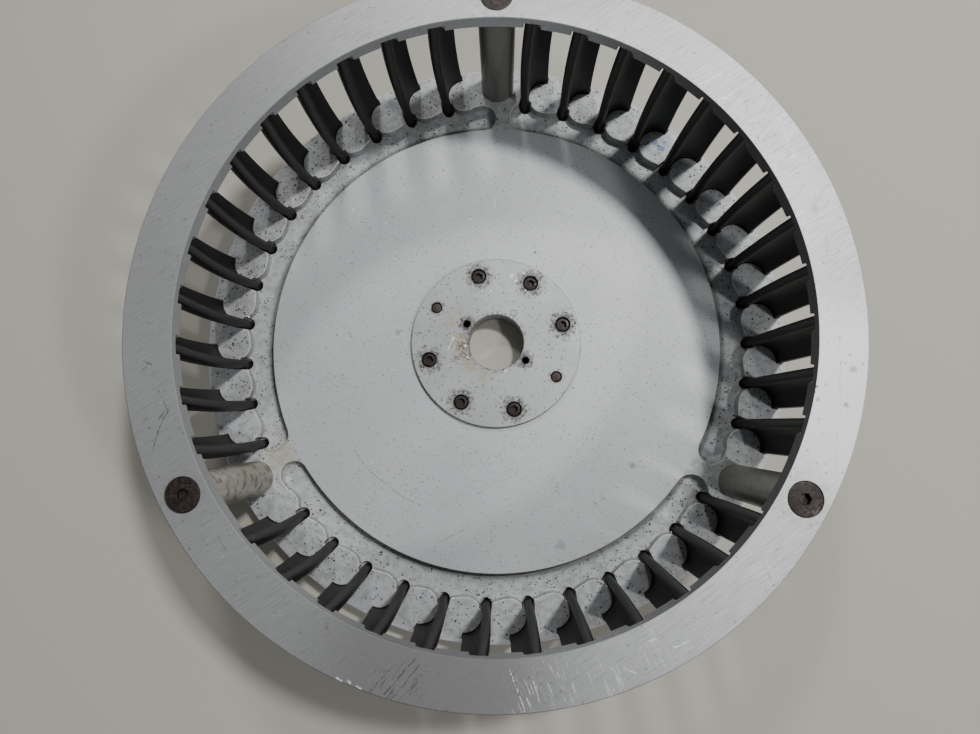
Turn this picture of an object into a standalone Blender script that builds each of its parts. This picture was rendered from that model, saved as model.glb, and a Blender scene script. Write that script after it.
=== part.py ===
"""Bladed rotor wheel: a back disc and a top ring joined by three posts, with
36 black blades let into both, and a bolted hub plate on the back disc.
Metres, +Z up, origin on the wheel's axis at the back face of the disc."""
import math

import bmesh
import bpy
from mathutils import Matrix, Vector

MM = 0.001

# Wheel
WHEEL_R = 210.0 * MM          # outer radius of the disc and of the ring
DISC_T = 20.0 * MM            # back disc thickness
RING_BORE_R = 181.8 * MM      # bore of the top ring
RING_T = 10.0 * MM            # top ring thickness
CLEAR_H = 107.0 * MM          # clear height between the disc and the ring
EDGE_BREAK = 0.8 * MM         # chamfer on the outer edges
GAP = 0.3 * MM                # fitting gap between separate pieces

# Places round the wheel: 39 equal steps, 3 of them taken by posts
STEPS_ROUND = 39
BLADES_PER_BAY = 12
POST_ANGLES = (90.0, 210.0, 330.0)
BLADE_LEAD = 0.35             # how far the blade grid leads the posts, degrees

# Milled pocket of each bay: an arc groove with the blade slots off it
POCKET_DEPTH = 9.0 * MM
GROOVE_IN_R = 162.5 * MM
CAP_FIRST_R = 9.75 * MM
CAP_FIRST = 3.3
CAP_LAST_R = 12.0 * MM
CAP_LAST = 112.5

# Blade section, in its own frame: x along the rim, y outward from the axis
NOSE_X, NOSE_Y, NOSE_R = 7.9 * MM, 185.0 * MM, 3.0 * MM
HOLLOW_X, HOLLOW_Y, HOLLOW_R = -6.4 * MM, 191.2 * MM, 12.0 * MM
BACK_X, BACK_Y, BACK_R = -7.0 * MM, 189.0 * MM, 18.4 * MM
TIP_X = -6.9 * MM
KEY_X, KEY_Y, KEY_R = 7.3 * MM, 184.5 * MM, 4.35 * MM
FOOT_DEPTH = 5.0 * MM         # how far a blade's foot goes below the pocket floor
NOTCH_DEPTH = 5.0 * MM
SLOT_PLAY = 0.3 * MM

# Posts and their screws
POST_R = 12.0 * MM
POST_AT_R = 196.0 * MM
SCREW_HEAD_R = 9.75 * MM
SCREW_SHANK_R = 5.0 * MM
SCREW_HEAD_H = 5.5 * MM
SCREW_LEN = 32.0 * MM
SCREW_SINK = 0.4 * MM
HEX_AF = 6.0 * MM
HEX_DEPTH = 3.4 * MM

# Hub plate
HUB_R = 61.25 * MM
HUB_T = 12.0 * MM
HUB_STAND = 4.0 * MM
BORE_R = 20.0 * MM
BOLT_PCD_R = 50.0 * MM
BOLT_TURN = 15.2
CBORE_R = 5.5 * MM
CBORE_DEPTH = 6.5 * MM
SHANK_HOLE_R = 3.3 * MM
DOWEL_R = 4.0 * MM
DOWEL_DEPTH = 9.0 * MM
TAP_R = 2.5 * MM
TAP_DEPTH = 10.0 * MM
TAP_AT_R = 25.0 * MM
TAP_ANGLES = (148.4, 328.4)
BOLT_PLACES = (0, 1, 2, 4, 5, 6)
DOWEL_PLACES = (3, 7)

RING_Z = DISC_T + CLEAR_H
TOP_Z = RING_Z + RING_T
PITCH = 360.0 / STEPS_ROUND

for old in list(bpy.data.objects):
    bpy.data.objects.remove(old, do_unlink=True)

wheel_coll = bpy.data.collections.new("bladed_rotor_wheel")
cutter_coll = bpy.data.collections.new("cutters")
bpy.context.scene.collection.children.link(wheel_coll)
bpy.context.scene.collection.children.link(cutter_coll)


def material(name, colour, metallic, roughness):
    mat = bpy.data.materials.new(name)
    mat.use_nodes = True
    bsdf = mat.node_tree.nodes["Principled BSDF"]
    bsdf.inputs["Base Color"].default_value = (*colour, 1.0)
    bsdf.inputs["Metallic"].default_value = metallic
    bsdf.inputs["Roughness"].default_value = roughness
    return mat


DISC_MAT = ("disc_aluminium", (0.56, 0.57, 0.58), 0.9, 0.42)
RING_MAT = ("ring_aluminium", (0.52, 0.53, 0.54), 0.9, 0.38)
HUB_MAT = ("hub_aluminium", (0.60, 0.61, 0.61), 0.9, 0.40)
POST_MAT = ("post_aluminium", (0.42, 0.43, 0.38), 0.8, 0.45)
BLADE_MAT = ("blade_black", (0.018, 0.018, 0.018), 0.0, 0.55)
SCREW_MAT = ("screw_steel", (0.10, 0.085, 0.075), 0.8, 0.5)


def polar(r, deg):
    a = math.radians(deg)
    return Vector((r * math.cos(a), r * math.sin(a)))


def place(points, deg):
    """Blade frame (x along the rim, y outward) to the wheel at an angle."""
    a = math.radians(deg)
    c, s = math.cos(a), math.sin(a)
    return [Vector((y * c - x * s, y * s + x * c)) for x, y in points]


def arc(cx, cy, r, start, end, count):
    """Points on an arc, start and end in degrees from +x."""
    out = []
    for i in range(count + 1):
        a = math.radians(start + (end - start) * i / count)
        out.append((cx + r * math.cos(a), cy + r * math.sin(a)))
    return out


def prism(name, outline, z0, z1):
    """Closed solid from a 2D outline (counter-clockwise) between two heights."""
    curve = bpy.data.curves.new(name + "_outline", "CURVE")
    curve.dimensions = "2D"
    curve.fill_mode = "BOTH"
    curve.extrude = (z1 - z0) / 2
    spline = curve.splines.new("POLY")
    spline.points.add(len(outline) - 1)
    for point, (x, y) in zip(spline.points, outline):
        point.co = (x, y, 0.0, 1.0)
    spline.use_cyclic_u = True
    holder = bpy.data.objects.new(name + "_curve", curve)
    holder.location.z = (z0 + z1) / 2
    cutter_coll.objects.link(holder)
    bpy.context.view_layer.update()
    graph = bpy.context.evaluated_depsgraph_get()
    mesh = bpy.data.meshes.new_from_object(holder.evaluated_get(graph))
    mesh.transform(holder.matrix_world)
    bpy.data.objects.remove(holder, do_unlink=True)
    bm = bmesh.new()
    bm.from_mesh(mesh)
    bmesh.ops.remove_doubles(bm, verts=bm.verts, dist=1e-6)
    bmesh.ops.recalc_face_normals(bm, faces=bm.faces)
    bm.to_mesh(mesh)
    bm.free()
    mesh.name = name
    return bpy.data.objects.new(name, mesh)


def turned(name, profile, steps):
    """Solid of revolution from (radius, height) points, run top to bottom."""
    mesh = bpy.data.meshes.new(name)
    closed = profile[0][0] > 0.0 and profile[-1][0] > 0.0
    edges = [(i, i + 1) for i in range(len(profile) - 1)]
    if closed:
        edges.append((len(profile) - 1, 0))
    mesh.from_pydata([(r, 0.0, z) for r, z in profile], edges, [])
    obj = bpy.data.objects.new(name, mesh)
    screw = obj.modifiers.new("turn", "SCREW")
    screw.steps = steps
    screw.render_steps = steps
    screw.use_merge_vertices = True
    screw.merge_threshold = 0.00001
    screw.use_normal_calculate = True
    cutter_coll.objects.link(obj)
    bpy.context.view_layer.update()
    graph = bpy.context.evaluated_depsgraph_get()
    baked = bpy.data.meshes.new_from_object(obj.evaluated_get(graph))
    obj.modifiers.clear()
    obj.data = baked
    bm = bmesh.new()
    bm.from_mesh(baked)
    bmesh.ops.remove_doubles(bm, verts=bm.verts, dist=1e-6)
    bmesh.ops.recalc_face_normals(bm, faces=bm.faces)
    bm.to_mesh(baked)
    bm.free()
    cutter_coll.objects.unlink(obj)
    return obj


def cutter(obj):
    cutter_coll.objects.link(obj)
    obj.hide_render = True
    obj.display_type = "WIRE"
    return obj


def cut(target, tool):
    mod = target.modifiers.new("cut_" + tool.name, "BOOLEAN")
    mod.operation = "DIFFERENCE"
    mod.solver = "EXACT"
    mod.object = tool


def node(obj, mat):
    wheel_coll.objects.link(obj)
    obj.data.materials.clear()
    obj.data.materials.append(material(*mat))
    return obj


def clear_holes(r, x, y, z0, z1, name, steps=24):
    hole = turned(name, [(0.0, z1), (r, z1), (r, z0), (0.0, z0)], steps)
    hole.location = (x, y, 0.0)
    return cutter(hole)


def blade_outline():
    """The blade's constant section: round nose and a body that hooks back."""
    start = math.degrees(math.acos((TIP_X - HOLLOW_X) / (HOLLOW_R + SLOT_PLAY)))
    hollow = arc(HOLLOW_X, HOLLOW_Y, HOLLOW_R + SLOT_PLAY, start, -22.0, 6)
    nose = arc(NOSE_X, NOSE_Y, NOSE_R, 185.0, 355.0, 6)
    back = arc(BACK_X, BACK_Y, BACK_R, -8.0, 89.0, 6)
    return hollow + nose + back


def foot_outline():
    """Seat of a blade's foot in the disc, with a round keyhole at its nose."""
    c = 0.2 * MM
    start = math.degrees(math.acos((TIP_X - HOLLOW_X) / (HOLLOW_R + c / 2)))
    hollow = arc(HOLLOW_X, HOLLOW_Y, HOLLOW_R + c / 2, start, -20.0, 6)
    key = arc(KEY_X, KEY_Y, KEY_R, 148.0, 382.0, 10)
    back = arc(BACK_X, BACK_Y, BACK_R + c, -4.0, 90.0, 6)
    return hollow + key + back


def slot_run(lobe_start):
    """Wall of one slot in the disc, from its lobe round to the next one."""
    c = SLOT_PLAY
    lobe = arc(HOLLOW_X, HOLLOW_Y, HOLLOW_R - 0.1 * MM, lobe_start, 93.0, 10)
    back = arc(BACK_X, BACK_Y, BACK_R + c, 91.0, 0.0, 6)
    ccw_wall = [(11.95 * MM, 185.5 * MM), (12.3 * MM, 181.4 * MM), (18.0 * MM, 179.2 * MM)]
    return lobe + back + ccw_wall


def notch_outline():
    """Notch in the ring for one blade end, open at the bore."""
    c = SLOT_PLAY
    lobe = arc(HOLLOW_X, HOLLOW_Y, HOLLOW_R - 0.1 * MM, -27.0, 93.0, 7)
    back = arc(BACK_X, BACK_Y, BACK_R + c, 91.0, 0.0, 6)
    mouth = [(11.75 * MM, 182.5 * MM), (11.75 * MM, 176.0 * MM)]
    mouth += [(0.9 * MM, 176.0 * MM), (0.9 * MM, 182.5 * MM)]
    return lobe + back + mouth


def cap_arc(radius, deg, start, end):
    """Round end of a groove; start and end are turned from straight outward."""
    c = polar(GROOVE_IN_R + radius, deg)
    return [c + polar(radius, deg + start + (end - start) * i / 8) for i in range(9)]


def pocket_outline(bay_deg):
    """One bay's milled pocket: groove caps, lobes, slots and inner arc."""
    out = cap_arc(CAP_FIRST_R, bay_deg + CAP_FIRST, 180.0, 372.0)
    for k in range(1, BLADES_PER_BAY + 1):
        wall = slot_run(-120.0 if k == 1 else -92.0)
        if k == BLADES_PER_BAY:
            del wall[-2:]
        out += place(wall, bay_deg + k * PITCH)
    out += cap_arc(CAP_LAST_R, bay_deg + CAP_LAST, 34.0, 180.0)
    span = CAP_LAST - CAP_FIRST
    for i in range(1, 32):
        out.append(polar(GROOVE_IN_R, bay_deg + CAP_LAST - span * i / 32))
    return out


def joined_prisms(name, outlines, z0, z1):
    """Several separate prisms as one cutter mesh."""
    mesh = bpy.data.meshes.new(name)
    bm = bmesh.new()
    for i, outline in enumerate(outlines):
        piece = prism(f"{name}_{i}", outline, z0, z1)
        bm.from_mesh(piece.data)
        bpy.data.objects.remove(piece, do_unlink=True)
    bm.to_mesh(mesh)
    bm.free()
    return cutter(bpy.data.objects.new(name, mesh))


blade_places = []
for post_deg in POST_ANGLES:
    for k in range(1, BLADES_PER_BAY + 1):
        blade_places.append(post_deg + BLADE_LEAD + k * PITCH)

# Back disc, with the hub plate's seat and the bore in its turned profile
floor_z = DISC_T - POCKET_DEPTH
seat_r = HUB_R + GAP
seat_z = DISC_T + HUB_STAND - HUB_T - GAP
disc = turned("base_disc", [
    (BORE_R, seat_z),
    (seat_r, seat_z),
    (seat_r, DISC_T),
    (WHEEL_R - EDGE_BREAK, DISC_T),
    (WHEEL_R, DISC_T - EDGE_BREAK),
    (WHEEL_R, EDGE_BREAK),
    (WHEEL_R - EDGE_BREAK, 0.0),
    (BORE_R, 0.0),
], 120)
node(disc, DISC_MAT)
for bay, post_deg in enumerate(POST_ANGLES):
    outline = pocket_outline(post_deg + BLADE_LEAD)
    pocket = prism(f"pocket_{bay + 1}", outline, floor_z, DISC_T + 5 * MM)
    cut(disc, cutter(pocket))
seat_list = [place(foot_outline(), a) for a in blade_places]
cut(disc, joined_prisms("foot_seats", seat_list, floor_z - FOOT_DEPTH, DISC_T + 6 * MM))

# Top ring, notched from below for the blades and countersunk over the posts
ring = turned("top_ring", [
    (WHEEL_R - EDGE_BREAK, TOP_Z),
    (WHEEL_R, TOP_Z - EDGE_BREAK),
    (WHEEL_R, RING_Z + EDGE_BREAK),
    (WHEEL_R - EDGE_BREAK, RING_Z),
    (RING_BORE_R, RING_Z),
    (RING_BORE_R, TOP_Z - EDGE_BREAK / 2),
    (RING_BORE_R + EDGE_BREAK / 2, TOP_Z),
], 120)
node(ring, RING_MAT)
notch_list = [place(notch_outline(), a) for a in blade_places]
notches = joined_prisms("blade_notches", notch_list, RING_Z - 3 * MM, RING_Z + NOTCH_DEPTH)
cut(ring, notches)

# Posts and the countersunk screws that hold the ring down on them
for i, post_deg in enumerate(POST_ANGLES, start=1):
    at = polar(POST_AT_R, post_deg)
    post = turned(f"post_{i}", [
        (0.0, RING_Z - GAP),
        (POST_R - 0.5 * MM, RING_Z - GAP),
        (POST_R, RING_Z - GAP - 0.5 * MM),
        (POST_R, DISC_T + GAP + 0.5 * MM),
        (POST_R - 0.5 * MM, DISC_T + GAP),
        (0.0, DISC_T + GAP),
    ], 40)
    post.location = (at.x, at.y, 0.0)
    node(post, POST_MAT)
    head_z = TOP_Z - SCREW_SINK
    tip_z = TOP_Z - SCREW_LEN
    screw = turned(f"ring_screw_{i}", [
        (0.0, head_z),
        (SCREW_HEAD_R - 0.3 * MM, head_z),
        (SCREW_HEAD_R, head_z - 0.3 * MM),
        (SCREW_HEAD_R, head_z - 0.9 * MM),
        (SCREW_SHANK_R, head_z - SCREW_HEAD_H),
        (SCREW_SHANK_R, tip_z + 0.8 * MM),
        (SCREW_SHANK_R - 0.8 * MM, tip_z),
        (0.0, tip_z),
    ], 32)
    screw.location = (at.x, at.y, 0.0)
    node(screw, SCREW_MAT)
    hex_r = HEX_AF / math.sqrt(3.0)
    socket = prism(f"hex_socket_{i}", [polar(hex_r, 60.0 * j + 15.0) for j in range(6)],
                   head_z - HEX_DEPTH, head_z + 2 * MM)
    socket.location = (at.x, at.y, 0.0)
    cut(screw, cutter(socket))
    sink = turned(f"countersink_{i}", [
        (0.0, TOP_Z + 2 * MM),
        (SCREW_HEAD_R + GAP, TOP_Z + 2 * MM),
        (SCREW_HEAD_R + GAP, head_z - 0.9 * MM - 0.12 * MM),
        (SCREW_SHANK_R + GAP, head_z - SCREW_HEAD_H - 0.12 * MM),
        (SCREW_SHANK_R + GAP, RING_Z - 4 * MM),
        (0.0, RING_Z - 4 * MM),
    ], 32)
    sink.location = (at.x, at.y, 0.0)
    cut(ring, cutter(sink))
    cut(post, clear_holes(SCREW_SHANK_R + GAP, at.x, at.y, tip_z - 1.0 * MM,
                          RING_Z + 4 * MM, f"post_hole_{i}"))

# Blades
for i, deg in enumerate(blade_places, start=1):
    blade = prism(f"blade_{i:02d}", place(blade_outline(), deg),
                  floor_z - FOOT_DEPTH + GAP, RING_Z + NOTCH_DEPTH - GAP)
    node(blade, BLADE_MAT)

# Hub plate with its counterbores, dowel holes, tapped holes and bore
hub_top = DISC_T + HUB_STAND
hub = turned("hub_plate", [
    (BORE_R + 0.5 * MM, hub_top),
    (HUB_R - 0.5 * MM, hub_top),
    (HUB_R, hub_top - 0.5 * MM),
    (HUB_R, hub_top - HUB_T),
    (BORE_R, hub_top - HUB_T),
    (BORE_R, hub_top - 0.5 * MM),
], 72)
node(hub, HUB_MAT)
for i in BOLT_PLACES:
    at = polar(BOLT_PCD_R, BOLT_TURN + 45.0 * i)
    step = turned(f"counterbore_{i}", [
        (0.0, hub_top + 2 * MM),
        (CBORE_R, hub_top + 2 * MM),
        (CBORE_R, hub_top - CBORE_DEPTH),
        (SHANK_HOLE_R, hub_top - CBORE_DEPTH),
        (SHANK_HOLE_R, hub_top - HUB_T - 2 * MM),
        (0.0, hub_top - HUB_T - 2 * MM),
    ], 24)
    step.location = (at.x, at.y, 0.0)
    cut(hub, cutter(step))
for i in DOWEL_PLACES:
    at = polar(BOLT_PCD_R, BOLT_TURN + 45.0 * i)
    cut(hub, clear_holes(DOWEL_R, at.x, at.y, hub_top - DOWEL_DEPTH, hub_top + 2 * MM,
                         f"dowel_hole_{i}", 20))
for i, deg in enumerate(TAP_ANGLES):
    at = polar(TAP_AT_R, deg)
    cut(hub, clear_holes(TAP_R, at.x, at.y, hub_top - TAP_DEPTH, hub_top + 2 * MM,
                         f"tap_hole_{i}", 16))
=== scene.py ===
# %% [markdown]
# # A bladed rotor wheel
# The object is an open fan rotor. A solid back disc carries 36 black blades,
# three posts hold a flat ring over them, and a round plate in the middle takes
# the drive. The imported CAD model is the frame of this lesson: every piece made
# here stands where its CAD node stands, and rides on the one rigid body.

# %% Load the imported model
import math
import random

import bmesh
import bpy
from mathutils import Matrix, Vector


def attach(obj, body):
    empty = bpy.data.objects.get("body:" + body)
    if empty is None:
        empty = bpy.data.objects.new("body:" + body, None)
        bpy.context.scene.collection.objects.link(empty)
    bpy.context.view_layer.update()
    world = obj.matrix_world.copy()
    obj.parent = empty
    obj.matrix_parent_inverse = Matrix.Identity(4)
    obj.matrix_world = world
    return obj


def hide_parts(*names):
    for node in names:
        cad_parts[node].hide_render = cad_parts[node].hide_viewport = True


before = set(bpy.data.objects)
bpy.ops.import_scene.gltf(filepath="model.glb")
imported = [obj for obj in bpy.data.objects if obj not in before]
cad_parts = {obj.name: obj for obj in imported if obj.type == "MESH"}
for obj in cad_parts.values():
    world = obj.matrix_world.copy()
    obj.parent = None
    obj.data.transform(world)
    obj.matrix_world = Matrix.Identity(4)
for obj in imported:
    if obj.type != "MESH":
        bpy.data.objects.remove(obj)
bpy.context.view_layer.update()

print("CAD nodes:", len(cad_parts))

# %% [markdown]
# The sizes are the wheel's own, in metres. They repeat the named values of the
# CAD source, so a finer mesh made from them lies inside its CAD node. A blade's
# section is drawn in its own frame, with x along the rim and y outward.

# %% Sizes of the wheel
MM = 0.001
WHEEL_R = 210.0 * MM
DISC_T = 20.0 * MM
RING_Z = 127.0 * MM
TOP_Z = 137.0 * MM
RING_BORE_R = 181.8 * MM
GAP = 0.3 * MM
PITCH = 360.0 / 39
PER_BAY = 12
POST_ANGLES = (90.0, 210.0, 330.0)
BLADE_LEAD = 0.35
FLOOR_Z = 11.0 * MM
SEAT_Z = 6.0 * MM
NOTCH_Z = 132.0 * MM
GROOVE_IN_R = 162.5 * MM
CAP_FIRST_R, CAP_FIRST = 9.75 * MM, 3.3
CAP_LAST_R, CAP_LAST = 12.0 * MM, 112.5
HOLLOW = (-6.4 * MM, 191.2 * MM, 12.0 * MM)
BACK = (-7.0 * MM, 189.0 * MM, 18.4 * MM)
NOSE = (7.9 * MM, 185.0 * MM, 3.0 * MM)
KEY = (7.3 * MM, 184.5 * MM, 4.35 * MM)
TIP_X = -6.9 * MM
POST_R = 12.0 * MM
POST_AT_R = 196.0 * MM
HEAD_R = 9.75 * MM
SHANK_R = 5.0 * MM
HUB_R = 61.25 * MM
HUB_TOP = 24.0 * MM
HUB_LOW = 12.0 * MM
BORE_R = 20.0 * MM
BOLT_R = 50.0 * MM
BOLT_TURN = 15.2
TAP_R = 25.0 * MM
TAP_ANGLES = (148.4, 328.4)
BAY_ANGLES = [p + BLADE_LEAD for p in POST_ANGLES]
BLADE_ANGLES = [b + k * PITCH for b in BAY_ANGLES for k in range(1, PER_BAY + 1)]
print("wheel", WHEEL_R * 2, "m across,", TOP_Z, "m high,", len(BLADE_ANGLES), "blades")

# %% [markdown]
# ## Camera
# The photograph was taken from above, a little towards its lower edge. The
# place, the tilt and the lens come from a fit to the rims and the blade feet.
# The small shift is the part of the frame that was cropped off.

# %% Place the camera
cam_data = bpy.data.cameras.new("photo_camera")
cam_data.sensor_fit = "HORIZONTAL"
cam_data.sensor_width = 36.0
cam_data.lens = 25.66
cam_data.shift_x = -0.0079
cam_data.shift_y = -0.0361
cam_data.clip_start = 0.01
camera = bpy.data.objects.new("photo_camera", cam_data)
camera.location = (0.00512, -0.05791, 0.52546)
camera.rotation_euler = [math.radians(a) for a in (7.443, 0.407, 0.35)]
bpy.context.scene.collection.objects.link(camera)
bpy.context.scene.camera = camera
print("camera at", tuple(round(v, 3) for v in camera.location))

# %% [markdown]
# ## Floor and light
# A pale floor and soft light show a pale metal wheel best when one light is
# clearly the strongest, because flat faces only part from each other by how
# they face it. The key light stands high at the upper right, and weaker ones
# at the top and at the right, because the ring's shadow in the photograph shows
# its edge three times: the distance of each edge gives the light's height.

# %% Floor
floor_mesh = bpy.data.meshes.new("floor")
floor_mesh.from_pydata([(-4, -4, 0), (4, -4, 0), (4, 4, 0), (-4, 4, 0)], [], [(0, 1, 2, 3)])
floor = bpy.data.objects.new("floor", floor_mesh)
bpy.context.scene.collection.objects.link(floor)
floor.location.z = -0.0002
floor_mat = bpy.data.materials.new("pale_floor")
floor_mat.use_nodes = True
floor_bsdf = floor_mat.node_tree.nodes["Principled BSDF"]
floor_bsdf.inputs["Base Color"].default_value = (0.46, 0.44, 0.38, 1.0)
floor_bsdf.inputs["Roughness"].default_value = 0.9
floor_mesh.materials.append(floor_mat)


# %% Lights
def area_light(name, at, size, watts, colour=(1.0, 1.0, 1.0)):
    """A square soft light that looks at the middle of the wheel."""
    data = bpy.data.lights.new(name, "AREA")
    data.size = size
    data.energy = watts
    data.color = colour
    lamp = bpy.data.objects.new(name, data)
    lamp.location = at
    aim = Vector((0.0, 0.0, 0.05)) - Vector(at)
    lamp.rotation_euler = aim.to_track_quat("-Z", "Y").to_euler()
    bpy.context.scene.collection.objects.link(lamp)
    return lamp


area_light("key_light", (0.609, 0.568, 1.758), 0.16, 24.0)
area_light("top_light", (-0.22, 1.25, 1.45), 0.18, 8.0)
area_light("side_light", (1.08, -0.57, 1.50), 0.18, 8.0)
area_light("soft_light", (0.85, 0.85, 1.70), 1.6, 3.0)
world = bpy.data.worlds.new("studio")
bpy.context.scene.world = world
world.use_nodes = True
world.node_tree.nodes["Background"].inputs["Color"].default_value = (0.92, 0.95, 1.0, 1.0)
world.node_tree.nodes["Background"].inputs["Strength"].default_value = 0.15

# %% [markdown]
# ## Node helpers
# A finish is a small web of nodes. Two helpers keep the script readable: one
# adds a node and links or sets its sockets, and one starts a node group with
# named sockets. A group is made once for an effect that several finishes share.


# %% Add nodes and groups
def add(tree, kind, sockets=None, **settings):
    """A new node; a value that is a socket is linked, any other is set."""
    node = tree.nodes.new(kind)
    for key, value in settings.items():
        setattr(node, key, value)
    for key, value in (sockets or {}).items():
        if isinstance(value, bpy.types.NodeSocket):
            tree.links.new(value, node.inputs[key])
        else:
            node.inputs[key].default_value = value
    return node


def math_node(tree, operation, a, b=0.0, clamp=False):
    node = add(tree, "ShaderNodeMath", {0: a, 1: b}, operation=operation)
    node.use_clamp = clamp
    return node.outputs[0]


def vec_node(tree, operation, a, b=(0.0, 0.0, 0.0)):
    node = add(tree, "ShaderNodeVectorMath", {0: a, 1: b}, operation=operation)
    return node.outputs["Value" if operation in {"LENGTH", "DOT_PRODUCT", "DISTANCE"} else "Vector"]


def fade(tree, value, low, high):
    """0 below low and 1 above high, eased between; also the other way round."""
    node = add(tree, "ShaderNodeMapRange", {"Value": value, "From Min": low, "From Max": high},
               interpolation_type="SMOOTHSTEP")
    return node.outputs["Result"]


def mix_colour(tree, mask, a, b):
    node = add(tree, "ShaderNodeMix", data_type="RGBA")
    for index, value in ((0, mask), (6, a), (7, b)):
        if isinstance(value, bpy.types.NodeSocket):
            tree.links.new(value, node.inputs[index])
        elif index == 0:
            node.inputs[0].default_value = value
        else:
            node.inputs[index].default_value = (*value, 1.0)
    return node.outputs[2]


def new_group(name, inputs, outputs):
    """An empty shader group; inputs are (name, kind, start value)."""
    tree = bpy.data.node_groups.new(name, "ShaderNodeTree")
    for label, kind, start in inputs:
        sock = tree.interface.new_socket(label, in_out="INPUT", socket_type=kind)
        if start is not None:
            sock.default_value = start
    for label, kind in outputs:
        tree.interface.new_socket(label, in_out="OUTPUT", socket_type=kind)
    return tree, tree.nodes.new("NodeGroupInput").outputs, tree.nodes.new("NodeGroupOutput").inputs


def use(tree, group, **values):
    """Places a group in a tree; spaces in socket names are written as _."""
    node = tree.nodes.new("ShaderNodeGroup")
    node.node_tree = group
    for key, value in values.items():
        socket = node.inputs[key.replace("_", " ")]
        if isinstance(value, bpy.types.NodeSocket):
            tree.links.new(value, socket)
        else:
            socket.default_value = value
    return node.outputs


FLOAT, VECTOR, COLOUR = "NodeSocketFloat", "NodeSocketVector", "NodeSocketColor"
print("node helpers ready")

# %% [markdown]
# ## Specks and pits
# The aluminium carries small black specks, thick on the pads and in the grooves
# and thin on the middle. One way is to paint them; another is a Voronoi pattern,
# where every cell holds one spot. The spot's size comes from the cell's random
# colour, and a slow noise thins whole areas out, so no two spots look alike.

# %% Speck group
speck_group, src, out = new_group("speck_spots", [
    ("Vector", VECTOR, None), ("Patchiness", FLOAT, 1.0), ("Cells per metre", FLOAT, 300.0),
    ("Spot size", FLOAT, 0.3), ("Share", FLOAT, 0.5)], [("Mask", FLOAT)])
tree = speck_group
cells = add(tree, "ShaderNodeTexVoronoi", {"Vector": src["Vector"], "Scale": src["Cells per metre"]})
chance = add(tree, "ShaderNodeSeparateColor", {"Color": cells.outputs["Color"]})
uneven = math_node(tree, "MULTIPLY", chance.outputs["Green"], chance.outputs["Green"])
size = math_node(tree, "MULTIPLY", src["Spot size"], math_node(tree, "ADD", 0.3, uneven))
inside = math_node(tree, "SUBTRACT", size, cells.outputs["Distance"])
edge = math_node(tree, "MULTIPLY", inside, 12.0, clamp=True)
kept = math_node(tree, "LESS_THAN", chance.outputs["Red"],
                 math_node(tree, "MULTIPLY", src["Share"], src["Patchiness"]))
faint = math_node(tree, "ADD", 0.45, math_node(tree, "MULTIPLY", chance.outputs["Blue"], 0.55))
tree.links.new(math_node(tree, "MULTIPLY", math_node(tree, "MULTIPLY", edge, kept), faint), out["Mask"])
print("speck group nodes:", len(tree.nodes))

# %% [markdown]
# ## Tool grain
# A turned or ground face keeps very fine parallel lines. A noise texture that is
# squeezed in one direction gives them. The group turns the pattern to an angle
# first, so the same group serves the ring, the plate and the posts.

# %% Grain group
grain_group, src, out = new_group("tool_grain", [
    ("Vector", VECTOR, None), ("Angle", FLOAT, 0.0), ("Fineness", FLOAT, 1200.0),
    ("Length", FLOAT, 40.0)], [("Value", FLOAT)])
tree = grain_group
spun = add(tree, "ShaderNodeVectorRotate", {"Vector": src["Vector"], "Angle": src["Angle"]},
           rotation_type="Z_AXIS")
axes = add(tree, "ShaderNodeSeparateXYZ", {"Vector": spun.outputs["Vector"]})
along = math_node(tree, "MULTIPLY", axes.outputs["X"], src["Length"])
across = math_node(tree, "MULTIPLY", axes.outputs["Y"], src["Fineness"])
down = math_node(tree, "MULTIPLY", axes.outputs["Z"], src["Fineness"])
squeezed = add(tree, "ShaderNodeCombineXYZ", {"X": along, "Y": across, "Z": down})
lines = add(tree, "ShaderNodeTexNoise", {"Vector": squeezed.outputs[0], "Scale": 1.0,
                                         "Detail": 3.0, "Roughness": 0.6})
tree.links.new(lines.outputs["Fac"], out["Value"])
print("grain group nodes:", len(tree.nodes))

# %% [markdown]
# ## Scratches, dents and stains
# A mark that sits at one place needs its own place in the finish. A scratch is
# the distance to a line between two points; a stain is the distance to one
# point, made ragged by noise. The noise is made once in each finish and handed
# to the groups, because a noise is the dearest node that a render evaluates.

# %% Scratch and stain groups
scratch_group, src, out = new_group("scratch_line", [
    ("Vector", VECTOR, None), ("Wear", FLOAT, 1.0), ("From", VECTOR, None), ("To", VECTOR, None),
    ("Width", FLOAT, 0.0004)], [("Mask", FLOAT)])
tree = scratch_group
reach = vec_node(tree, "SUBTRACT", src["Vector"], src["From"])
span = vec_node(tree, "SUBTRACT", src["To"], src["From"])
share = math_node(tree, "DIVIDE", vec_node(tree, "DOT_PRODUCT", reach, span),
                  vec_node(tree, "DOT_PRODUCT", span, span), clamp=True)
foot = add(tree, "ShaderNodeVectorMath", {0: span, "Scale": share}, operation="SCALE")
gone = vec_node(tree, "DISTANCE", reach, foot.outputs["Vector"])
inside = math_node(tree, "SUBTRACT", math_node(tree, "MULTIPLY", src["Width"], src["Wear"]), gone)
soft = math_node(tree, "DIVIDE", inside, math_node(tree, "MULTIPLY", src["Width"], 0.5), clamp=True)
tree.links.new(soft, out["Mask"])

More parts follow.
